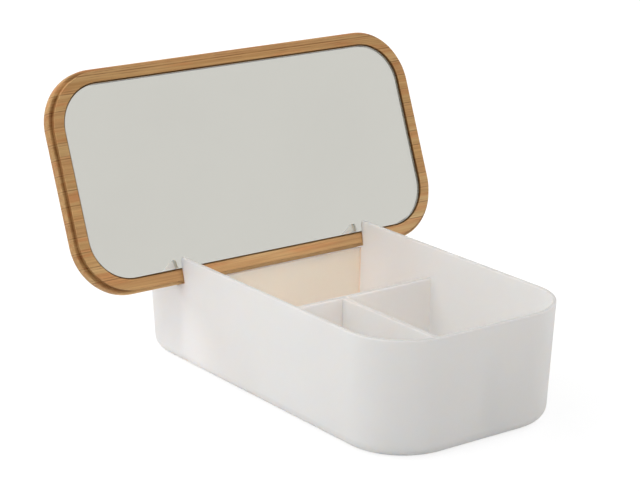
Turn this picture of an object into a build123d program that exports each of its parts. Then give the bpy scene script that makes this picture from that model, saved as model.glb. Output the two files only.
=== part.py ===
"""Open plastic vanity tray with a bamboo lid that holds a mirror and stands in two slots of the tray.

Frame: origin at the centre of the tray's underside, +X across the tray, +Y along it towards
the end where the lid stands, +Z up. All lengths are in millimetres, all angles in degrees.
"""
from build123d import *

import os
from math import cos, radians, sin, tan

# ---------------------------------------------------------------- driving dimensions

# Tray, outside
tray_length = 240.0
tray_width = 124.0
tray_height = 62.6
rim_corner_radius = 32.6
base_corner_radius = 34.4
base_inset = 1.9              # draft: the base stands in from the rim by this on every side
base_edge_radius = 6.6

# Tray, walls
wall = 2.0
floor_thickness = 2.2
rim_edge_radius = 0.6

# Webs moulded inside the tray
divider_thickness = 2.8
divider_drop = 17.4           # rim down to the top of the dividers
divider_edge_radius = 1.1
ledge_thickness = 2.0         # web under the standing lid
ledge_edge_radius = 0.35

# Where the lid stands
lean = 21.25                  # lid's tilt back from upright
seat_drop = 15.4              # rim down to the lower front corner of the lid's flange
seat_from_back = 56.6         # tray's back end forwards to the same corner
lid_slide = -1.65             # lid's middle along the slots, as it was set down
seat_clearance = 0.3          # lid to slot floor and slot back
ledge_clearance = 0.5         # lid to the web under it, so that the slots carry the lid
slot_front_clearance = 0.6    # lid's plug to the front of the slot, at the slot floor
slot_flare = 9.0              # the slot's front edge opens by this from the lid's plane
slot_floor_radius = 0.6
slot_mouth_radius = 2.5
slot_ramp_rise = 0.3          # rim down to where the mouth's corners are struck
slot_ramp_angle = 12.0
slot_ramp_reach = 6.0

# Lid board, glued up from bamboo staves
lid_end_inset = 0.3           # the closed lid stands in from the tray's ends
lid_side_inset = 0.8          # and from the tray's long sides
lid_corner_radius = 30.6
flange_thickness = 6.0
flange_front_radius = 1.6
flange_back_radius = 1.2
plug_height = 2.5
plug_clearance = 0.35         # plug to the tray's inner wall when the lid is closed
plug_edge_radius = 0.5
stave_count = 15
lowest_stave_width = 9.6      # as the lid stands
top_stave_width = 3.6         # cut narrow by the lid's edge

# Mirror and what holds it
mirror_border = 5.9           # width of the plug's face around the mirror's recess
mirror_gap = 0.8
mirror_thickness = 1.8
mirror_edge = 0.35
mirror_sink = 0.7             # mirror's face below the plug's face
tape_thickness = 0.5
tape_length = 170.0
tape_width = 16.0
tape_from_edge = 14.0         # mirror's long edge to the outer tape strips

# ---------------------------------------------------------------- sizes that follow

lid_length = tray_length - 2 * lid_end_inset
lid_width = tray_width - 2 * lid_side_inset
plug_inset = wall + plug_clearance
recess_inset = plug_inset + mirror_border
recess_depth = mirror_sink + mirror_thickness + tape_thickness
mirror_inset = recess_inset + mirror_gap
stave_width = (lid_width - lowest_stave_width - top_stave_width) / (stave_count - 2)

seat_y = tray_length / 2 - seat_from_back
seat_z = tray_height - seat_drop
divider_top = tray_height - divider_drop
ledge_top = seat_z - ledge_clearance / cos(radians(lean))
ledge_fall = ledge_thickness * tan(radians(lean))

# Plane of the flange's front face as the lid stands: local x runs along the lid's long side,
# local y up the lid from its lower edge, local z out of the mirror's side.
lid_plane = Plane(
    origin=(lid_slide, seat_y, seat_z),
    x_dir=(1, 0, 0),
    z_dir=(0, -cos(radians(lean)), sin(radians(lean))),
)


def side_view(up: float, forward: float) -> tuple[float, float]:
    """Y and Z of a point given up the lid from its lower edge and forward of its flange."""
    point = lid_plane.from_local_coords((0, up, forward))
    return point.Y, point.Z


def tray_form(inset: float, bottom: float, edge_radius: float) -> Part:
    """The tray's outside form drawn in by inset on every side, solid from bottom to the rim."""
    with BuildPart() as form:
        for height in (bottom, tray_height):
            rise = height / tray_height
            draw_in = inset + base_inset * (1 - rise)
            corner = base_corner_radius + (rim_corner_radius - base_corner_radius) * rise - inset
            with BuildSketch(Plane.XY.offset(height)):
                RectangleRounded(tray_width - 2 * draw_in, tray_length - 2 * draw_in, corner)
        loft(ruled=True)
        fillet(form.faces().sort_by(Axis.Z)[0].edges(), radius=edge_radius)
    return form.part


def closing_outline(inset: float) -> None:
    """Draw the tray's rim outline, drawn in by inset, on the lid's middle into the sketch being built."""
    with Locations((0, lid_width / 2)):
        RectangleRounded(tray_length - 2 * inset, tray_width - 2 * inset, rim_corner_radius - inset)


# ---------------------------------------------------------------- tray

outside = tray_form(0, 0, base_edge_radius)
cavity = tray_form(wall, floor_thickness, base_edge_radius - wall)
web_limit = tray_form(wall / 2, floor_thickness / 2, base_edge_radius - wall / 2)

# T of dividers: one web across the tray, one from it forwards along the middle
with BuildPart() as dividers:
    add(web_limit)
    with BuildSketch():
        Rectangle(tray_width, divider_thickness)
        with Locations((0, -tray_length / 4)):
            Rectangle(divider_thickness, tray_length / 2)
    extrude(amount=divider_top, mode=Mode.INTERSECT)
    top_edges = dividers.faces().sort_by(Axis.Z)[-1].edges().filter_by(GeomType.LINE)
    fillet(top_edges.filter_by(lambda edge: edge.length > 2 * divider_thickness), divider_edge_radius)

# Ledge across the tray under the standing lid
with BuildPart() as ledge:
    add(web_limit)
    with BuildSketch(Plane.YZ) as ledge_outline:
        with BuildLine():
            Polyline(
                (seat_y, 0),
                (seat_y, ledge_top),
                (seat_y + ledge_thickness, ledge_top - ledge_fall),
                (seat_y + ledge_thickness, 0),
                close=True,
            )
        make_face()
        fillet(ledge_outline.vertices().group_by(Axis.Y)[-1], ledge_edge_radius)
    extrude(amount=tray_width, both=True, mode=Mode.INTERSECT)

# The slot's outline seen from the side: floor square to the lid, back edge along the lid,
# front edge flared open, and both mouth corners eased into a shallow ramp up to the rim
slot_floor_back = side_view(-seat_clearance, -flange_thickness - seat_clearance)
slot_floor_front = side_view(-seat_clearance, plug_height + slot_front_clearance)
front_angle = radians(lean - slot_flare)
back_angle = radians(lean)
mouth_z = tray_height - slot_ramp_rise
mouth_front = (slot_floor_front[0] + (mouth_z - slot_floor_front[1]) * tan(front_angle), mouth_z)
mouth_back = (slot_floor_back[0] + (mouth_z - slot_floor_back[1]) * tan(back_angle), mouth_z)
ramp_top = mouth_z + slot_ramp_reach * tan(radians(slot_ramp_angle))
ramp_front = (mouth_front[0] - slot_ramp_reach, ramp_top)
ramp_back = (mouth_back[0] + slot_ramp_reach, ramp_top)

with BuildPart() as tray:
    add(outside)
    add(cavity, mode=Mode.SUBTRACT)
    fillet(tray.faces().sort_by(Axis.Z)[-1].edges(), rim_edge_radius)
    add(dividers.part)
    with BuildSketch(Plane.YZ) as slot_outline:
        with BuildLine():
            Polyline(
                ramp_front, mouth_front, slot_floor_front, slot_floor_back, mouth_back, ramp_back, close=True
            )
        make_face()
        corners = slot_outline.vertices().group_by(Axis.Y)
        fillet(corners[0] + corners[1], slot_floor_radius)
        fillet(slot_outline.vertices().group_by(Axis.Y)[-2], slot_mouth_radius)
    extrude(amount=tray_width, both=True, mode=Mode.SUBTRACT)
    add(ledge.part)
tray.part.label = "tray"

# ---------------------------------------------------------------- lid

with BuildPart() as lid_board:
    with BuildSketch(lid_plane.offset(-flange_thickness)):
        with Locations((0, lid_width / 2)):
            RectangleRounded(lid_length, lid_width, lid_corner_radius)
    extrude(amount=flange_thickness)
    flange_faces = lid_board.faces().filter_by(lid_plane).sort_by(Axis(lid_plane.origin, lid_plane.z_dir))
    fillet(flange_faces[-1].edges(), flange_front_radius)
    fillet(flange_faces[0].edges(), flange_back_radius)
    with BuildSketch(lid_plane):
        closing_outline(plug_inset)
    extrude(amount=plug_height)
    plug_face = lid_board.faces().filter_by(lid_plane).sort_by(Axis(lid_plane.origin, lid_plane.z_dir))[-1]
    fillet(plug_face.edges(), plug_edge_radius)
    with BuildSketch(lid_plane.offset(plug_height)):
        closing_outline(recess_inset)
    extrude(amount=-recess_depth, mode=Mode.SUBTRACT)

staves = []
joint_heights = [lowest_stave_width + number * stave_width for number in range(stave_count - 1)]
stave_edges = [0.0, *joint_heights, lid_width]
for number in range(1, stave_count + 1):
    low, high = stave_edges[number - 1], stave_edges[number]
    with BuildPart() as stave:
        add(lid_board.part)
        with BuildSketch(lid_plane.offset(-flange_thickness)):
            with Locations((0, (low + high) / 2)):
                Rectangle(lid_length, high - low)
        extrude(amount=flange_thickness + plug_height, mode=Mode.INTERSECT)
    stave.part.label = f"lid_stave_{number:02d}"
    staves.append(stave.part)

with BuildPart() as mirror:
    with BuildSketch(lid_plane.offset(plug_height - mirror_sink)):
        closing_outline(mirror_inset)
    extrude(amount=-mirror_thickness)
    mirror_faces = mirror.faces().filter_by(lid_plane)
    chamfer(mirror_faces.edges(), mirror_edge)
mirror.part.label = "mirror"

mirror_half_width = tray_width / 2 - mirror_inset
tape_offset = mirror_half_width - tape_from_edge - tape_width / 2
tape_rows = {"lower": -tape_offset, "middle": 0.0, "upper": tape_offset}
tapes = []
for row, offset_up in tape_rows.items():
    with BuildPart() as tape:
        with BuildSketch(lid_plane.offset(plug_height - recess_depth)):
            with Locations((0, lid_width / 2 + offset_up)):
                Rectangle(tape_length, tape_width)
        extrude(amount=tape_thickness)
    tape.part.label = f"mirror_tape_{row}"
    tapes.append(tape.part)

# ---------------------------------------------------------------- files

os.makedirs("parts", exist_ok=True)
for piece in [tray.part, *staves, mirror.part, *tapes]:
    export_step(piece, f"parts/{piece.label}.step")
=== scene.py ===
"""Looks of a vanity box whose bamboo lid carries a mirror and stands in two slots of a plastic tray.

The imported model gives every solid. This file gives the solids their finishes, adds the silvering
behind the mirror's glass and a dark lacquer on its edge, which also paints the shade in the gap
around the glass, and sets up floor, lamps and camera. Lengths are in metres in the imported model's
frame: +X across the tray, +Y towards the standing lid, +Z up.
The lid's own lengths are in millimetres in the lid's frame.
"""
import logging
from dataclasses import dataclass, field
from enum import Enum
from math import cos, pi, radians, sin

import bpy
from mathutils import Matrix, Vector


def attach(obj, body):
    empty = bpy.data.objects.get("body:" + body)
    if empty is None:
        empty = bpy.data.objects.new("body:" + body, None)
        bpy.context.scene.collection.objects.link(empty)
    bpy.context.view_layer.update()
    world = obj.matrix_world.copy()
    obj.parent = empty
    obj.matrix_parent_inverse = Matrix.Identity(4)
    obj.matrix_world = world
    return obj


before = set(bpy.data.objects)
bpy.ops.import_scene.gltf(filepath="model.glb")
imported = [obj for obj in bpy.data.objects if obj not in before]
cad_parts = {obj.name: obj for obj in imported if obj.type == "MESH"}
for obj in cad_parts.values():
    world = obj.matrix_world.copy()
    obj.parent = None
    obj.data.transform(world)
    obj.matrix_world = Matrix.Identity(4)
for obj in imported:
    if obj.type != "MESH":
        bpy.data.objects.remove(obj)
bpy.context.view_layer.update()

logging.basicConfig(level=logging.INFO, format="%(name)s: %(message)s")
log = logging.getLogger("vanity_box")

MM = 0.001
Triple = tuple[float, float, float]
Colour = tuple[float, float, float]
Span = tuple[float, float]


class Slot(Enum):
    """Material slots of the record."""

    TRAY = "tray_plastic"
    MIRROR = "mirror_glass"
    TAPE = "tape_foam"


class Body(Enum):
    """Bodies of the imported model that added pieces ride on."""

    LID = "lid"


# ---------------------------------------------------------------- node graphs


class Graph:
    """A material's or world's node tree, with short calls for the nodes that the finishes use."""

    def __init__(self, tree: bpy.types.NodeTree) -> None:
        """Empty the tree and keep it.

        Args:
            tree: the node tree of a material or world.
        """
        self.tree = tree
        tree.nodes.clear()

    def add(self, kind: str, **settings: object) -> bpy.types.Node:
        """Add a node.

        Args:
            kind: the node's type name, without the ShaderNode prefix.
            settings: properties to set on it.

        Returns:
            The new node.
        """
        node = self.tree.nodes.new("ShaderNode" + kind)
        for name, value in settings.items():
            setattr(node, name, value)
        return node

    def feed(self, socket: bpy.types.NodeSocket, value: object) -> None:
        """Link an output to a socket, or set a number or colour on it.

        Args:
            socket: the input socket.
            value: an output socket to link, or the value to set.
        """
        if isinstance(value, bpy.types.NodeSocket):
            self.tree.links.new(value, socket)
        else:
            socket.default_value = value

    def point(self) -> bpy.types.NodeSocket:
        """Return the object coordinates of the shaded point."""
        return self.add("TexCoord").outputs["Object"]

    def facing(self) -> bpy.types.NodeOutputs:
        """Return the X, Y and Z of the direction that the surface faces."""
        return self.split(self.add("TexCoord").outputs["Normal"])

    def split(self, vector: object) -> bpy.types.NodeOutputs:
        """Return the X, Y and Z outputs of a vector."""
        node = self.add("SeparateXYZ")
        self.feed(node.inputs[0], vector)
        return node.outputs

    def math(self, operation: str, *values: object) -> bpy.types.NodeSocket:
        """Combine numbers with a Math node.

        Args:
            operation: the node's operation, such as MULTIPLY.
            values: up to three numbers or sockets.

        Returns:
            The result's socket.
        """
        node = self.add("Math", operation=operation)
        for socket, value in zip(node.inputs, values):
            self.feed(socket, value)
        return node.outputs[0]

    def ramp(self, value: object, low: float, high: float, to_low: float = 0.0, to_high: float = 1.0,
             smooth: bool = True) -> bpy.types.NodeSocket:
        """Map a value from low..high to to_low..to_high, held inside them.

        Args:
            value: the number or socket to map.
            low: the value that gives to_low.
            high: the value that gives to_high.
            to_low: result at low.
            to_high: result at high.
            smooth: ease in and out of both ends.

        Returns:
            The mapped value's socket.
        """
        node = self.add("MapRange", interpolation_type="SMOOTHSTEP" if smooth else "LINEAR")
        for name, number in (("Value", value), ("From Min", low), ("From Max", high),
                             ("To Min", to_low), ("To Max", to_high)):
            self.feed(node.inputs[name], number)
        return node.outputs["Result"]

    def band(self, value: object, middle: float, reach: Span, share: float = 1.0,
             smooth: bool = True) -> bpy.types.NodeSocket:
        """Return a share close to a middle value, fading out on both sides of it.

        Args:
            value: the number or socket to test.
            middle: the middle of the band.
            reach: distances from the middle where the fade begins and where nothing is left.
            share: result inside the band.
            smooth: ease in and out of the fade.

        Returns:
            The share's socket.
        """
        off_middle = self.math("ABSOLUTE", self.math("SUBTRACT", value, middle))
        return self.ramp(off_middle, reach[1], reach[0], to_high=share, smooth=smooth)

    def noise(self, vector: object, scale: float, detail: float = 2.0,
              roughness: float = 0.5) -> bpy.types.NodeSocket:
        """Return the value of a 3-D noise.

        Args:
            vector: the points at which it is read.
            scale: the noise's scale.
            detail: number of finer layers.
            roughness: weight of the finer layers.

        Returns:
            The noise's socket.
        """
        node = self.add("TexNoise", noise_dimensions="3D")
        for name, value in (("Vector", vector), ("Scale", scale), ("Detail", detail),
                            ("Roughness", roughness)):
            self.feed(node.inputs[name], value)
        return node.outputs[0]

    def place(self, vector: object, scale: Triple = (1, 1, 1), turn: Triple = (0, 0, 0),
              shift: Triple = (0, 0, 0)) -> bpy.types.NodeSocket:
        """Scale, then turn, then shift a vector.

        Args:
            vector: the vector's socket.
            scale: factors along the three axes.
            turn: angles around the three axes, in radians.
            shift: lengths along the three axes.

        Returns:
            The placed vector's socket.
        """
        node = self.add("Mapping", vector_type="POINT")
        for name, value in (("Vector", vector), ("Scale", scale), ("Rotation", turn),
                            ("Location", shift)):
            self.feed(node.inputs[name], value)
        return node.outputs[0]

    def mix(self, share: object, first: object, second: object,
            blend: str = "MIX") -> bpy.types.NodeSocket:
        """Mix two colours.

        Args:
            share: how much of the second, from 0 to 1.
            first: a colour or a colour's socket.
            second: a colour or a colour's socket.
            blend: the node's blend type.

        Returns:
            The mixed colour's socket.
        """
        node = self.add("Mix", data_type="RGBA", blend_type=blend, clamp_factor=True)
        sockets = {"Factor": node.inputs[0], "A": node.inputs[6], "B": node.inputs[7]}
        for name, value in (("Factor", share), ("A", first), ("B", second)):
            if isinstance(value, tuple):
                value = (*value, 1.0)
            self.feed(sockets[name], value)
        return node.outputs[2]

    def bump(self, height: object, distance: float, strength: float) -> bpy.types.NodeSocket:
        """Tilt the normal by a height.

        Args:
            height: the height's socket.
            distance: what a height of 1 stands for, in metres.
            strength: how strongly it shows, from 0 to 1.

        Returns:
            The normal's socket.
        """
        node = self.add("Bump")
        for name, value in (("Height", height), ("Distance", distance), ("Strength", strength)):
            self.feed(node.inputs[name], value)
        return node.outputs[0]


def new_material(name: str) -> tuple[bpy.types.Material, Graph, bpy.types.Node]:
    """Make a material with a Principled shader.

    Args:
        name: the material's name.

    Returns:
        The material, its graph and the shader node.
    """
    material = bpy.data.materials.new(name)
    material.use_nodes = True
    graph = Graph(material.node_tree)
    shader = graph.add("BsdfPrincipled")
    output = graph.add("OutputMaterial")
    graph.feed(output.inputs["Surface"], shader.outputs[0])
    return material, graph, shader


# ---------------------------------------------------------------- finishes


@dataclass(frozen=True)
class MouldedPlastic:
    """Milky polypropylene that lets a little light through, with a fine spark-eroded texture."""

    # colours
    colour: Colour = (0.865, 0.858, 0.848)
    warm_colour: Colour = (0.86, 0.848, 0.832)
    cloud_scale: float = 22.0
    cloud: Span = (0.35, 0.65)
    # painted light: whiter towards the lid's end of the tray, making up for the shade that the lid casts
    # on the walls near its slots
    painted_rear_colour: Colour = (0.975, 0.965, 0.950)
    painted_light_along: Span = (25.0 * MM, 70.0 * MM)

    # painted shade on the upward edges of the rim and the webs
    edge_shade: float = 0.76
    edge_height: Span = (40.0 * MM, 41.0 * MM)
    edge_facing: Span = (0.35, 0.85)

    # painted warm light on the web under the lid and on the walls beside it, standing in for the light
    # that the bamboo throws on them
    web_painted_light_colour: Colour = (1.0, 0.835, 0.735)
    web_at: float = 64.4 * MM
    web_reach: Span = (2.2 * MM, 2.6 * MM)
    beside_reach: Span = (0.0, 26.0 * MM)
    beside_share: float = 0.22
    wall_inside: Span = (59.4 * MM, 58.8 * MM)
    wall_draft: float = 0.0304

    # surface
    roughness: Span = (0.39, 0.46)
    roughness_cloud: Span = (0.3, 0.7)
    refraction: float = 1.49
    light_depth: float = 4.0 * MM
    depth_by_colour: Colour = (1.0, 0.88, 0.78)
    texture_scale: float = 2600.0
    texture_height: float = 0.02 * MM
    texture_strength: float = 0.25

    def material(self, name: str) -> bpy.types.Material:
        """Make the plastic.

        Args:
            name: the material's name.

        Returns:
            The material.
        """
        material, graph, shader = new_material(name)
        point = graph.point()
        cloud = graph.noise(point, self.cloud_scale)
        white = graph.mix(graph.ramp(cloud, *self.cloud), self.colour, self.warm_colour)
        # painted light towards the lid's end of the tray
        painted_rear = graph.ramp(graph.split(point)[1], *self.painted_light_along)
        white = graph.mix(painted_rear, white, self.painted_rear_colour)
        # painted warm light on the web under the lid and the walls beside it
        colour = graph.mix(self.web_painted_light_share(graph, point), white, self.web_painted_light_colour)
        # painted shade on the upward edges of the rim and the webs
        graph.feed(shader.inputs["Base Color"],
                   graph.mix(self.painted_shade_on_top_edges(graph, point), colour, (self.edge_shade,) * 3, "MULTIPLY"))
        graph.feed(shader.inputs["Roughness"],
                   graph.ramp(graph.noise(point, 9 * self.cloud_scale), *self.roughness_cloud,
                              *self.roughness))
        shader.inputs["Subsurface Weight"].default_value = 1.0
        shader.inputs["Subsurface Radius"].default_value = self.depth_by_colour
        shader.inputs["Subsurface Scale"].default_value = self.light_depth
        shader.inputs["IOR"].default_value = self.refraction
        grain = graph.noise(point, self.texture_scale, detail=1.0)
        graph.feed(shader.inputs["Normal"],
                   graph.bump(grain, self.texture_height, self.texture_strength))
        return material

    def painted_shade_on_top_edges(self, graph: Graph, point: object) -> bpy.types.NodeSocket:
        """Find the narrow upward edges of the rim and the webs, where shade is painted.

        Args:
            graph: the graph to build in.
            point: the object coordinates.

        Returns:
            A socket that is 1 on them and 0 elsewhere.
        """
        high = graph.ramp(graph.split(point)[2], *self.edge_height)
        return graph.math("MULTIPLY", high, graph.ramp(graph.facing()[2], *self.edge_facing))

    def web_painted_light_share(self, graph: Graph, point: object) -> bpy.types.NodeSocket:
        """Find where warm light is painted: the thin web under the lid and the inside of the walls beside
        it.

        Args:
            graph: the graph to build in.
            point: the object coordinates.

        Returns:
            A socket that is 1 on the web, less beside it and 0 elsewhere.
        """
        across, along, rise = graph.split(point)
        on_web = graph.band(along, self.web_at, self.web_reach)
        beside = graph.band(along, self.web_at, self.beside_reach, self.beside_share, smooth=False)
        wall = graph.math("SUBTRACT", graph.math("ABSOLUTE", across),
                          graph.math("MULTIPLY", rise, self.wall_draft))
        inside = graph.ramp(wall, *self.wall_inside)
        return graph.math("MULTIPLY", graph.math("MAXIMUM", on_web, beside), inside)


class Tone(Enum):
    """Colours of the bamboo strips, by the names of the record's slots: fibre, body and pale streak."""

    bamboo_light = ((0.37, 0.175, 0.060), (0.560, 0.325, 0.130), (0.66, 0.425, 0.190))
    bamboo_warm = ((0.34, 0.145, 0.050), (0.545, 0.297, 0.120), (0.64, 0.390, 0.168))
    bamboo_mid = ((0.35, 0.160, 0.052), (0.550, 0.305, 0.118), (0.65, 0.400, 0.170))


@dataclass(frozen=True)
class LidFrame:
    """Turns points of the model into millimetres along, behind and up the standing lid."""

    lean: float = radians(21.25)
    slide: float = -1.65
    seat_y: float = 63.4
    seat_z: float = 47.2

    def matrix(self) -> Matrix:
        """Return the place of the flange's lower front edge: x along, y up the lid, z out of its front."""
        turn = Matrix.Rotation(pi / 2 - self.lean, 4, "X")
        return Matrix.Translation((self.slide * MM, self.seat_y * MM, self.seat_z * MM)) @ turn

    def coordinates(self, graph: Graph) -> bpy.types.NodeSocket:
        """Give a graph the lid's own coordinates.

        Args:
            graph: the graph to build in.

        Returns:
            The millimetres along the lid, back from the flange's face, and up.
        """
        back = -(cos(self.lean) * self.seat_y - sin(self.lean) * self.seat_z)
        up = -(sin(self.lean) * self.seat_y + cos(self.lean) * self.seat_z)
        return graph.place(graph.point(), scale=(1 / MM,) * 3, turn=(self.lean, 0, 0),
                           shift=(-self.slide, back, up))


@dataclass(frozen=True)
class Knuckle:
    """The band where a bamboo culm had its joint: a dark line with a pale one beside it."""

    waviness: Triple = (0.0, 0.5, 0.5)
    wobble: float = 5.0
    line_reach: Span = (0.2, 0.9)
    line_share: float = 0.6
    pale_at: float = -2.0
    pale_reach: Span = (0.4, 2.2)
    pale_share: float = 0.35


@dataclass(frozen=True)
class GlueLine:
    """A glued joint seen from one strip: a dark line, a paler one inside it, and a fainter dark one."""

    colour: Colour = (0.24, 0.100, 0.038)
    unevenness: Triple = (0.09, 0.3, 0.3)
    line: Span = (0.30, 0.10)
    line_cloud: Span = (0.32, 0.60)
    line_share: Span = (0.30, 0.85)
    pale_at: float = 0.65
    pale_reach: Span = (0.05, 0.40)
    pale_share: float = 0.30
    second_at: float = 1.35
    second_reach: Span = (0.10, 0.30)
    second_cloud: Span = (0.45, 0.65)
    second_share: float = 0.45


@dataclass(frozen=True)
class StepShade:
    """Painted shade in the step between the lid's flange and its plug, uneven along it."""

    colour: Colour = (0.50, 0.41, 0.31)
    patchiness: Triple = (0.12, 0.0, 0.12)
    patch_cloud: Span = (0.3, 0.7)
    patch_share: Span = (0.75, 1.0)
    foot: Span = (0.02, 0.3)
    head: Span = (2.45, 1.75)
    foot_at_ends: Span = (-0.8, 0.0)
    ends: Span = (88.0, 106.0)
    clean_from: Span = (109.0, 112.0)
    clean_to: Span = (118.0, 116.5)


@dataclass(frozen=True)
class BambooStrip:
    """One glued strip of planed bamboo: long fibres, dark bundles, a glue line at each joint."""

    number: int
    tone: Tone
    low_joint: float | None
    high_joint: float | None
    knuckle_at: float | None
    lightness: float = 1.0
    knuckle: Knuckle = Knuckle()
    glue: GlueLine = GlueLine()
    step_shade: StepShade = StepShade()

    # grain: noise scales along, behind and up the lid, and where on the noise each mark begins
    shift_by_number: Triple = (37.0, 11.0, 5.0)
    streak_grain: Triple = (0.016, 0.34, 0.34)
    streak_cloud: Span = (0.38, 0.66)
    patch_grain: Triple = (0.026, 0.26, 0.26)
    patch_cloud: Span = (0.50, 0.68)
    patch_colour: Colour = (0.600, 0.255, 0.095)
    patch_share: float = 0.7
    fibre_grain: Triple = (0.018, 1.3, 1.3)
    fibre_cloud: Span = (0.56, 0.36)
    fibre_share: float = 0.34
    bundle_grain: Triple = (0.05, 3.4, 3.4)
    bundle_cloud: Span = (0.62, 0.74)
    bundle_share: float = 0.28
    end_facing: Span = (0.75, 1.0)
    end_share: float = 0.22

    # painted light on the lower edge, and bleaching
    lit_edge_up_to: Span = (2.1, 1.2)
    lit_edge_share: float = 0.9
    lit_edge_lightness: float = 1.12
    bleached: Colour = (1.02, 1.13, 1.26)
    bleached_along: Span = (-90.0, -20.0)
    bleached_up_to: Span = (40.0, 16.0)

    # surface
    roughness: Span = (0.58, 0.46)
    roughness_cloud: Span = (0.3, 0.7)
    specular: float = 0.25
    bundle_depth: float = -0.6
    grain_height: float = 0.05 * MM
    grain_strength: float = 0.35

    def material(self, lid: LidFrame) -> bpy.types.Material:
        """Make this strip's bamboo.

        Args:
            lid: the frame in whose coordinates it is drawn.

        Returns:
            The material.
        """
        material, graph, shader = new_material(f"bamboo_strip_{self.number:02d}")
        lid_point = lid.coordinates(graph)
        along, _, rise = graph.split(lid_point)
        by_length, by_width, patch_rise = self.shift_by_number
        shift = (by_length * self.number, by_width * self.number, 0.0)
        patch_shift = (shift[1], shift[0], patch_rise)
        streak = graph.noise(graph.place(lid_point, self.streak_grain, shift=shift), 1.0, 2.5)
        patch = graph.noise(graph.place(lid_point, self.patch_grain, shift=patch_shift), 1.0, 2.5)
        fibre = graph.noise(graph.place(lid_point, self.fibre_grain, shift=shift), 1.0, 3.0, 0.6)
        bundle = graph.noise(graph.place(lid_point, self.bundle_grain, shift=shift), 1.0, 1.0)

        dark, body, pale = self.tone.value
        colour = graph.mix(graph.ramp(streak, *self.streak_cloud), body, pale)
        red = graph.ramp(patch, *self.patch_cloud, to_high=self.patch_share)
        colour = graph.mix(red, colour, self.patch_colour)
        colour = graph.mix(graph.ramp(fibre, *self.fibre_cloud, to_high=self.fibre_share), colour, dark)
        colour = graph.mix(graph.ramp(bundle, *self.bundle_cloud, to_high=self.bundle_share),
                           colour, dark)
        if self.knuckle_at is not None:
            colour = self.with_knuckle(graph, colour, lid_point, along)
        colour = self.with_glue(graph, colour, lid_point, rise)
        end_grain = graph.ramp(graph.math("ABSOLUTE", graph.facing()[0]), *self.end_facing,
                               to_high=self.end_share)
        colour = graph.mix(end_grain, colour, dark)
        colour = self.with_wear(graph, colour, along, rise)
        colour = graph.mix(1.0, colour, (self.lightness,) * 3, "MULTIPLY")
        # painted shade in the step between flange and plug
        graph.feed(shader.inputs["Base Color"], self.with_crevice(graph, colour, lid_point))

        graph.feed(shader.inputs["Roughness"],
                   graph.ramp(fibre, *self.roughness_cloud, *self.roughness))
        shader.inputs["Specular IOR Level"].default_value = self.specular
        height = graph.math("ADD", fibre, graph.math("MULTIPLY", bundle, self.bundle_depth))
        graph.feed(shader.inputs["Normal"], graph.bump(height, self.grain_height, self.grain_strength))
        return material

    def with_knuckle(self, graph: Graph, colour: object, lid_point: object,
                     along: object) -> bpy.types.NodeSocket:
        """Draw the culm's joint across the strip.

        Args:
            graph: the graph to build in.
            colour: the strip's colour so far.
            lid_point: the lid's own coordinates.
            along: the coordinate along the lid.

        Returns:
            The colour with the joint.
        """
        mark = self.knuckle
        dark, _, pale = self.tone.value
        wobble = graph.noise(graph.place(lid_point, mark.waviness), 1.0)
        offset = graph.math("ADD", along, graph.math("MULTIPLY_ADD", wobble, mark.wobble,
                                                     -mark.wobble / 2 - self.knuckle_at))
        beside = graph.band(offset, mark.pale_at, mark.pale_reach, mark.pale_share)
        line = graph.band(offset, 0.0, mark.line_reach, mark.line_share)
        return graph.mix(line, graph.mix(beside, colour, pale), dark)

    def with_glue(self, graph: Graph, colour: object, lid_point: object,
                  rise: object) -> bpy.types.NodeSocket:
        """Draw the glued joints along the strip's edges.

        Args:
            graph: the graph to build in.
            colour: the strip's colour so far.
            lid_point: the lid's own coordinates.
            rise: the coordinate up the lid.

        Returns:
            The colour with the joints.
        """
        glue = self.glue
        pale = self.tone.value[2]
        distances = []
        if self.low_joint is not None:
            distances.append(graph.math("SUBTRACT", rise, self.low_joint))
        if self.high_joint is not None:
            distances.append(graph.math("SUBTRACT", self.high_joint, rise))
        near = distances[0] if len(distances) == 1 else graph.math("MINIMUM", *distances)
        uneven = graph.noise(graph.place(lid_point, glue.unevenness), 1.0)
        colour = graph.mix(graph.band(near, glue.pale_at, glue.pale_reach, glue.pale_share),
                           colour, pale)
        second = graph.math("MULTIPLY", graph.band(near, glue.second_at, glue.second_reach),
                            graph.ramp(uneven, *glue.second_cloud, to_high=glue.second_share))
        colour = graph.mix(second, colour, glue.colour)
        share = graph.math("MULTIPLY", graph.ramp(near, *glue.line),
                           graph.ramp(uneven, *glue.line_cloud, *glue.line_share))
        return graph.mix(share, colour, glue.colour)

    def with_wear(self, graph: Graph, colour: object, along: object,
                  rise: object) -> bpy.types.NodeSocket:
        """Paint light onto the lower edge, where the board faces down, and bleach the lower part of the
        board.

        Args:
            graph: the graph to build in.
            colour: the strip's colour so far.
            along: the coordinate along the lid.
            rise: the coordinate up the lid.

        Returns:
            The colour with painted light and bleaching.
        """
        # painted light on the lower edge, which faces down and gets little light
        lit_edge = graph.ramp(rise, *self.lit_edge_up_to, to_high=self.lit_edge_share)
        lit_edge_colour = tuple(self.lit_edge_lightness * part for part in self.tone.value[2])
        colour = graph.mix(lit_edge, colour, lit_edge_colour)
        bleach = graph.math("MULTIPLY", graph.ramp(along, *self.bleached_along),
                            graph.ramp(rise, *self.bleached_up_to))
        return graph.mix(bleach, colour, graph.mix(1.0, colour, self.bleached, "MULTIPLY"))

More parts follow.
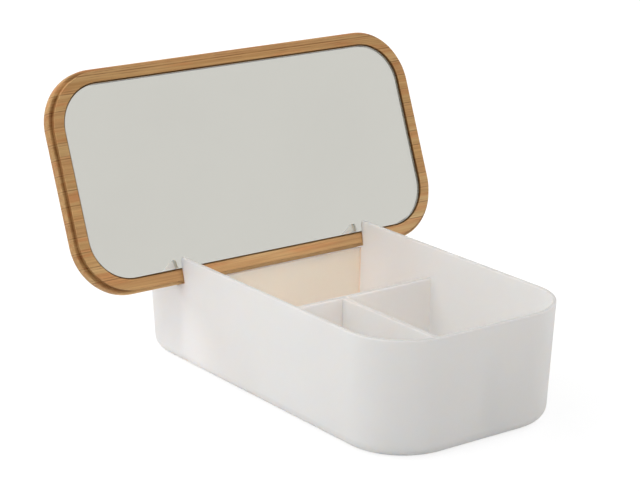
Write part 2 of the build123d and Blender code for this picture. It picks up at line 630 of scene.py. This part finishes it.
    def with_crevice(self, graph: Graph, colour: object, lid_point: object) -> bpy.types.NodeSocket:
        """Paint shade into the step between flange and plug, but not onto the upper wall of the mirror's
        recess.

        Args:
            graph: the graph to build in.
            colour: the strip's colour so far.
            lid_point: the lid's own coordinates.

        Returns:
            The colour with the painted shade in the step.
        """
        shade_spec = self.step_shade
        along, back, rise = graph.split(lid_point)
        forward = graph.math("MULTIPLY", back, -1.0)
        at_ends = graph.math("MULTIPLY", graph.ramp(forward, *shade_spec.foot_at_ends),
                             graph.ramp(graph.math("ABSOLUTE", along), *shade_spec.ends))
        foot = graph.math("MAXIMUM", at_ends, graph.ramp(forward, *shade_spec.foot))
        step = graph.math("MULTIPLY", foot, graph.ramp(forward, *shade_spec.head))
        patch = graph.noise(graph.place(lid_point, shade_spec.patchiness), 1.0)
        share = graph.math("MULTIPLY", step,
                           graph.ramp(patch, *shade_spec.patch_cloud, *shade_spec.patch_share))
        clean = graph.math("MULTIPLY", graph.ramp(rise, *shade_spec.clean_from),
                           graph.ramp(rise, *shade_spec.clean_to))
        share = graph.math("MULTIPLY", share, graph.math("SUBTRACT", 1.0, clean))
        return graph.mix(share, colour, shade_spec.colour, "MULTIPLY")


@dataclass(frozen=True)
class PaneGlass:
    """Clear float glass, faintly green, with a trace of film."""

    tint: Colour = (0.965, 0.985, 0.962)
    film_scale: float = 35.0
    film_cloud: Span = (0.45, 0.8)
    film_roughness: float = 0.012
    refraction: float = 1.52

    def material(self, name: str) -> bpy.types.Material:
        """Make the glass.

        Args:
            name: the material's name.

        Returns:
            The material.
        """
        material, graph, shader = new_material(name)
        film = graph.noise(graph.point(), self.film_scale, detail=3.0)
        graph.feed(shader.inputs["Roughness"],
                   graph.ramp(film, *self.film_cloud, to_high=self.film_roughness))
        shader.inputs["Base Color"].default_value = (*self.tint, 1.0)
        shader.inputs["Transmission Weight"].default_value = 1.0
        shader.inputs["IOR"].default_value = self.refraction
        return material


@dataclass(frozen=True)
class Silvering:
    """The reflecting coat behind the glass."""

    colour: Colour = (0.93, 0.93, 0.91)
    dullness: float = 0.985
    patch_scale: float = 14.0
    patch_cloud: Span = (0.4, 0.7)
    roughness: float = 0.015

    def material(self, name: str) -> bpy.types.Material:
        """Make the coat.

        Args:
            name: the material's name.

        Returns:
            The material.
        """
        material, graph, shader = new_material(name)
        patch = graph.noise(graph.point(), self.patch_scale)
        dull = tuple(self.dullness * part for part in self.colour)
        graph.feed(shader.inputs["Base Color"],
                   graph.mix(graph.ramp(patch, *self.patch_cloud), self.colour, dull))
        shader.inputs["Metallic"].default_value = 1.0
        shader.inputs["Roughness"].default_value = self.roughness
        return material


@dataclass(frozen=True)
class SealingLacquer:
    """Brown lacquer brushed on the glass's edge, dark so that it also paints the shade of the gap around
    the glass, and paler towards the mirror's left end, where less of that shade is painted.
    """

    colour: Colour = (0.260, 0.190, 0.095)
    thin_colour: Colour = (0.560, 0.420, 0.220)
    # paler towards the left end, where less shade is painted in the gap
    pale_left_colour: Colour = (0.70, 0.55, 0.36)
    pale_left_along: Span = (-72.0 * MM, -104.0 * MM)
    patch_scale: float = 700.0
    patch_cloud: Span = (0.4, 0.65)
    roughness: Span = (0.45, 0.6)
    roughness_cloud: Span = (0.3, 0.7)

    def material(self, name: str) -> bpy.types.Material:
        """Make the lacquer.

        Args:
            name: the material's name.

        Returns:
            The material.
        """
        material, graph, shader = new_material(name)
        point = graph.point()
        patch = graph.noise(point, self.patch_scale)
        coat = graph.mix(graph.ramp(patch, *self.patch_cloud), self.colour, self.thin_colour)
        # less painted shade in the gap towards the mirror's left end
        pale_left = graph.ramp(graph.split(point)[0], *self.pale_left_along)
        graph.feed(shader.inputs["Base Color"], graph.mix(pale_left, coat, self.pale_left_colour))
        graph.feed(shader.inputs["Roughness"],
                   graph.ramp(patch, *self.roughness_cloud, *self.roughness))
        return material


@dataclass(frozen=True)
class FoamTape:
    """Grey closed-cell foam of the mounting tape."""

    colour: Colour = (0.42, 0.42, 0.41)
    cell_colour: Colour = (0.30, 0.30, 0.29)
    cells: float = 2200.0
    cell_cloud: Span = (0.2, 0.7)
    cell_depth: float = 0.05 * MM
    cell_strength: float = 0.5
    roughness: float = 0.9

    def material(self, name: str) -> bpy.types.Material:
        """Make the foam.

        Args:
            name: the material's name.

        Returns:
            The material.
        """
        material, graph, shader = new_material(name)
        cell = graph.add("TexVoronoi")
        graph.feed(cell.inputs["Vector"], graph.point())
        cell.inputs["Scale"].default_value = self.cells
        depth = cell.outputs["Distance"]
        graph.feed(shader.inputs["Base Color"],
                   graph.mix(graph.ramp(depth, *self.cell_cloud), self.colour, self.cell_colour))
        shader.inputs["Roughness"].default_value = self.roughness
        graph.feed(shader.inputs["Normal"], graph.bump(depth, self.cell_depth, self.cell_strength))
        return material


# ---------------------------------------------------------------- sub-assemblies


def dress(node: str, material: bpy.types.Material) -> None:
    """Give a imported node's object a material in every slot.

    Args:
        node: the node's name.
        material: the material.
    """
    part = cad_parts[node]
    for place in range(len(part.data.materials)):
        part.data.materials[place] = material
    log.info("dressed %s with %s", node, material.name)


@dataclass
class Tray:
    """The moulded tray with its walls, dividers and the web under the lid."""

    node: str = "tray"
    plastic: MouldedPlastic = field(default_factory=MouldedPlastic)

    def build(self) -> None:
        """Dress the tray."""
        dress(self.node, self.plastic.material(Slot.TRAY.value))


@dataclass
class LidBoard:
    """The board glued up from bamboo strips, numbered from its lower edge."""

    place: LidFrame
    strips: int = 15
    lowest_width: float = 9.6
    strip_width: float = 8.4
    knuckles: tuple[float | None, ...] = (
        None, None, -61.0, 38.0, -12.0, 84.0, -83.0, 17.0, 66.0, -38.0, 52.0, -70.0, None, None, None,
    )
    lightness: tuple[float, ...] = (
        1.02, 1.03, 0.98, 1.01, 0.97, 1.03, 0.99, 1.00, 1.02, 0.98, 1.01, 0.97, 1.01, 0.95, 0.93,
    )

    def build(self) -> None:
        """Dress every strip in its own tone and grain."""
        for number in range(1, self.strips + 1):
            node = f"lid_stave_{number:02d}"
            tone = Tone[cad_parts[node].data.materials[0].name.split(".")[0]]
            high = self.lowest_width + (number - 1) * self.strip_width
            strip = BambooStrip(number, tone,
                                low_joint=high - self.strip_width if number > 1 else None,
                                high_joint=high if number < self.strips else None,
                                knuckle_at=self.knuckles[number - 1],
                                lightness=self.lightness[number - 1])
            dress(node, strip.material(self.place))


@dataclass
class Mirror:
    """The glass, its silvering, the lacquer on its edge that also paints the shade of the gap, and the
    foam tapes that hold it.
    """

    place: LidFrame
    tapes: tuple[str, ...] = ("lower", "middle", "upper")

    # glass, in millimetres: its back lies on the plane of the flange's front
    length: float = 221.9
    height: float = 105.9
    middle_up: float = 61.2
    corner: float = 23.55
    thickness: float = 1.8
    corner_steps: int = 24

    # silvering and lacquer
    coat_above_back: float = 0.03
    coat_thickness: float = 0.05
    seal_inset: float = 0.15
    seal_thickness: float = 0.12
    # silvering, and lacquer that also paints the gap's shade
    seal_above_back: float = 0.09
    seal_below_front: float = 0.40

    def build(self) -> None:
        """Dress the glass and the tapes, and add the silvering and the lacquer."""
        dress("mirror", PaneGlass().material("mirror_pane"))
        foam = FoamTape().material(Slot.TAPE.value)
        for row in self.tapes:
            dress(f"mirror_tape_{row}", foam)
        self.add_silvering()
        self.add_edge_seal()

    def add_silvering(self) -> None:
        """Model the silvering as a thin rounded sheet just inside the glass's back face."""
        piece = self.rounded_plate("mirror_silvering", 0.0, self.coat_thickness)
        self.set_on_lid(piece, self.coat_above_back)
        piece.data.materials.append(Silvering().material("silvering"))

    def add_edge_seal(self) -> None:
        """Model the lacquer as a thin band just inside the glass's edge, so that it shows through it and
        paints the gap around the glass dark as shade.
        """
        piece = self.rounded_plate("mirror_edge_seal", -self.seal_inset,
                                   self.thickness - self.seal_below_front - self.seal_above_back)
        bpy.ops.object.mode_set(mode="EDIT")
        bpy.ops.mesh.select_mode(type="FACE")
        bpy.ops.mesh.select_all(action="DESELECT")
        bpy.ops.mesh.select_face_by_sides(number=4, type="GREATER")
        bpy.ops.mesh.delete(type="ONLY_FACE")
        bpy.ops.object.mode_set(mode="OBJECT")
        coat = piece.modifiers.new("coat", "SOLIDIFY")
        coat.thickness = self.seal_thickness * MM
        coat.offset = 1.0
        bpy.ops.object.modifier_apply(modifier="coat")
        self.set_on_lid(piece, self.seal_above_back)
        piece.data.materials.append(SealingLacquer().material("sealing_lacquer"))

    def rounded_plate(self, name: str, outgrowth: float, thickness: float) -> bpy.types.Object:
        """Model a plate of the glass's outline, lying flat at the origin.

        Args:
            name: the piece's name.
            outgrowth: how far it stands out beyond the glass on every side, in millimetres.
            thickness: the plate's thickness in millimetres.

        Returns:
            The plate, selected and active.
        """
        bpy.ops.object.select_all(action="DESELECT")
        bpy.ops.mesh.primitive_plane_add(size=1.0)
        piece = bpy.context.object
        piece.name = name
        piece.scale = ((self.length + 2 * outgrowth) * MM, (self.height + 2 * outgrowth) * MM, 1.0)
        bpy.ops.object.transform_apply(location=False, rotation=False, scale=True)
        bpy.ops.object.mode_set(mode="EDIT")
        bpy.ops.mesh.select_all(action="SELECT")
        bpy.ops.mesh.bevel(offset=(self.corner + outgrowth) * MM, segments=self.corner_steps,
                           affect="VERTICES")
        bpy.ops.mesh.select_all(action="SELECT")
        bpy.ops.mesh.extrude_region_move(TRANSFORM_OT_translate={"value": (0, 0, thickness * MM)})
        bpy.ops.mesh.select_all(action="SELECT")
        bpy.ops.mesh.normals_make_consistent(inside=False)
        bpy.ops.object.mode_set(mode="OBJECT")
        return piece

    def set_on_lid(self, piece: bpy.types.Object, depth: float) -> None:
        """Move a flat plate to the mirror's place and let it ride on the lid.

        Args:
            piece: the selected plate.
            depth: its underside's height over the flange's front face, in millimetres.
        """
        lift = Matrix.Translation((0, self.middle_up * MM, depth * MM))
        piece.matrix_world = self.place.matrix() @ lift
        bpy.ops.object.transform_apply(location=True, rotation=True, scale=True)
        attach(piece, Body.LID.value)
        log.info("added %s on %s", piece.name, Body.LID.value)


# ---------------------------------------------------------------- studio


@dataclass(frozen=True)
class Lamp:
    """A square soft box that faces the box from a compass direction and a height in degrees."""

    name: str
    direction: float
    height: float
    power: float
    size: float = 1.4
    distance: float = 2.5
    colour: Colour = (1.0, 1.0, 1.0)
    spread: float = 180.0
    aim: Triple = (0.0, 0.0, 0.0)

    def add(self) -> None:
        """Hang the lamp."""
        light = bpy.data.lights.new(self.name, "AREA")
        light.shape = "SQUARE"
        light.size = self.size
        light.energy = self.power
        light.color = self.colour
        light.spread = radians(self.spread)
        lamp = bpy.data.objects.new(self.name, light)
        bpy.context.scene.collection.objects.link(lamp)
        turn, rise = radians(self.direction), radians(self.height)
        way = Vector((cos(turn) * cos(rise), sin(turn) * cos(rise), sin(rise)))
        lamp.location = Vector(self.aim) + self.distance * way
        lamp.rotation_euler = (-way).to_track_quat("-Z", "Y").to_euler()
        lamp.visible_glossy = False
        lamp.visible_transmission = False


@dataclass(frozen=True)
class Floor:
    """A wide pale floor, white to the camera except in the box's shadow, and all white far off."""

    reach: float = 14.0
    drop: float = 0.1 * MM
    lit_grey: float = 0.8
    shadow_grey: float = 0.3
    glow: Span = (0.8, 1.0)
    glow_grows: Span = (0.7, 1.8)


@dataclass
class Studio:
    """Pale floor, even surroundings and soft lamps."""

    surround: float = 0.01
    seen_in_gloss: Colour = (0.680, 0.661, 0.641)
    gloss_overhead: Colour = (0.95, 0.95, 0.95)
    overhead: Span = (0.45, 0.95)
    floor: Floor = Floor()
    lamps: tuple[Lamp, ...] = (
        Lamp("left_low_lamp", 180.0, 12.0, 9.6),
        Lamp("left_high_lamp", 180.0, 45.0, 11.2),
        Lamp("back_left_low_lamp", 155.0, 20.0, 4.8),
        Lamp("back_left_lamp", 135.0, 40.0, 13.2),
        Lamp("back_left_high_lamp", 120.0, 65.0, 6.0),
        Lamp("back_lamp", 90.0, 30.0, 24.8),
        Lamp("right_lamp", 0.0, 35.0, 19.5),
        Lamp("front_right_lamp", 315.0, 40.0, 1.8),
        Lamp("front_low_lamp", 300.0, 12.0, 12.0),
        Lamp("front_high_lamp", 270.0, 60.0, 6.0),
        Lamp("front_left_lamp", 225.0, 40.0, 8.0),
        Lamp("glow_off_bamboo", 270.0, 55.0, 0.036, size=0.15, distance=0.5,
             colour=(1.0, 0.88, 0.80), spread=30.0, aim=(0.0, 0.06, 0.045)),
    )

    def build(self) -> None:
        """Set up everything that isn't part of the box."""
        self.set_world()
        self.add_floor()
        for lamp in self.lamps:
            lamp.add()
        bpy.context.scene.view_settings.view_transform = "Standard"

    def by_ray(self, graph: Graph, lit: object, seen: object, gloss: object) -> bpy.types.NodeSocket:
        """Choose a shader by the kind of ray.

        Args:
            graph: the graph to build in.
            lit: shader for the rays that carry light.
            seen: shader for the camera.
            gloss: shader for reflections and for views through glass.

        Returns:
            The chosen shader's socket.
        """
        path = graph.add("LightPath")
        shiny = graph.math("MAXIMUM", path.outputs["Is Glossy Ray"], path.outputs["Is Transmission Ray"])
        first = graph.add("MixShader")
        for socket, value in zip(first.inputs, (shiny, lit, gloss)):
            graph.feed(socket, value)
        second = graph.add("MixShader")
        for socket, value in zip(second.inputs, (path.outputs["Is Camera Ray"], first.outputs[0], seen)):
            graph.feed(socket, value)
        return second.outputs[0]

    def set_world(self) -> None:
        """Make the surroundings: even light, white to the camera, studio grey in reflections."""
        world = bpy.data.worlds.new("studio")
        bpy.context.scene.world = world
        world.use_nodes = True
        graph = Graph(world.node_tree)
        lit = graph.add("Background")
        lit.inputs["Strength"].default_value = self.surround
        seen = graph.add("Background")
        for shade in (lit, seen):
            shade.inputs["Color"].default_value = (1.0, 1.0, 1.0, 1.0)
        gloss = graph.add("Background")
        height = graph.split(graph.add("TexCoord").outputs["Generated"])[2]
        graph.feed(gloss.inputs["Color"],
                   graph.mix(graph.ramp(height, *self.overhead), self.seen_in_gloss,
                             self.gloss_overhead))
        output = graph.add("OutputWorld")
        chosen = self.by_ray(graph, lit.outputs[0], seen.outputs[0], gloss.outputs[0])
        graph.feed(output.inputs["Surface"], chosen)

    def add_floor(self) -> None:
        """Lay the floor."""
        bpy.ops.object.select_all(action="DESELECT")
        bpy.ops.mesh.primitive_plane_add(size=self.floor.reach, location=(0, 0, -self.floor.drop))
        piece = bpy.context.object
        piece.name = "floor"
        bpy.ops.object.transform_apply()
        material = bpy.data.materials.new("floor")
        material.use_nodes = True
        graph = Graph(material.node_tree)
        lit = graph.add("BsdfDiffuse")
        lit.inputs["Color"].default_value = (*(self.floor.lit_grey,) * 3, 1.0)
        faint = graph.add("BsdfDiffuse")
        faint.inputs["Color"].default_value = (*(self.floor.shadow_grey,) * 3, 1.0)
        off_middle = graph.add("VectorMath", operation="LENGTH")
        graph.feed(off_middle.inputs[0], graph.point())
        glow = graph.add("Emission")
        graph.feed(glow.inputs["Strength"],
                   graph.ramp(off_middle.outputs["Value"], *self.floor.glow_grows, *self.floor.glow))
        seen = graph.add("AddShader")
        graph.feed(seen.inputs[0], faint.outputs[0])
        graph.feed(seen.inputs[1], glow.outputs[0])
        gloss = graph.add("Emission")
        gloss.inputs["Color"].default_value = (*self.seen_in_gloss, 1.0)
        output = graph.add("OutputMaterial")
        chosen = self.by_ray(graph, lit.outputs[0], seen.outputs[0], gloss.outputs[0])
        graph.feed(output.inputs["Surface"], chosen)
        piece.data.materials.append(material)


@dataclass(frozen=True)
class Viewpoint:
    """The camera's place in metres, its turns in radians and its lens in millimetres."""

    place: Triple = (-0.651467, -0.867590, 0.402278)
    yaw: float = 0.632635
    pitch: float = 0.294159
    roll: float = 0.004691
    lens: float = 120.01
    sensor: float = 36.0

    def add(self) -> None:
        """Set the scene's camera."""
        forward = Vector((sin(self.yaw) * cos(self.pitch), cos(self.yaw) * cos(self.pitch),
                          -sin(self.pitch)))
        level = Vector((cos(self.yaw), -sin(self.yaw), 0.0))
        upright = level.cross(forward)
        right = cos(self.roll) * level + sin(self.roll) * upright
        up = cos(self.roll) * upright - sin(self.roll) * level
        data = bpy.data.cameras.new("camera")
        data.lens = self.lens
        data.sensor_width = self.sensor
        camera = bpy.data.objects.new("camera", data)
        bpy.context.scene.collection.objects.link(camera)
        turn = Matrix((right, up, -forward)).transposed().to_4x4()
        camera.matrix_world = Matrix.Translation(self.place) @ turn
        bpy.context.scene.camera = camera


def main() -> None:
    """Build the sub-assemblies and the studio in order."""
    lid_place = LidFrame()
    Tray().build()
    LidBoard(lid_place).build()
    Mirror(lid_place).build()
    Studio().build()
    Viewpoint().add()


if __name__ == "__main__":
    main()
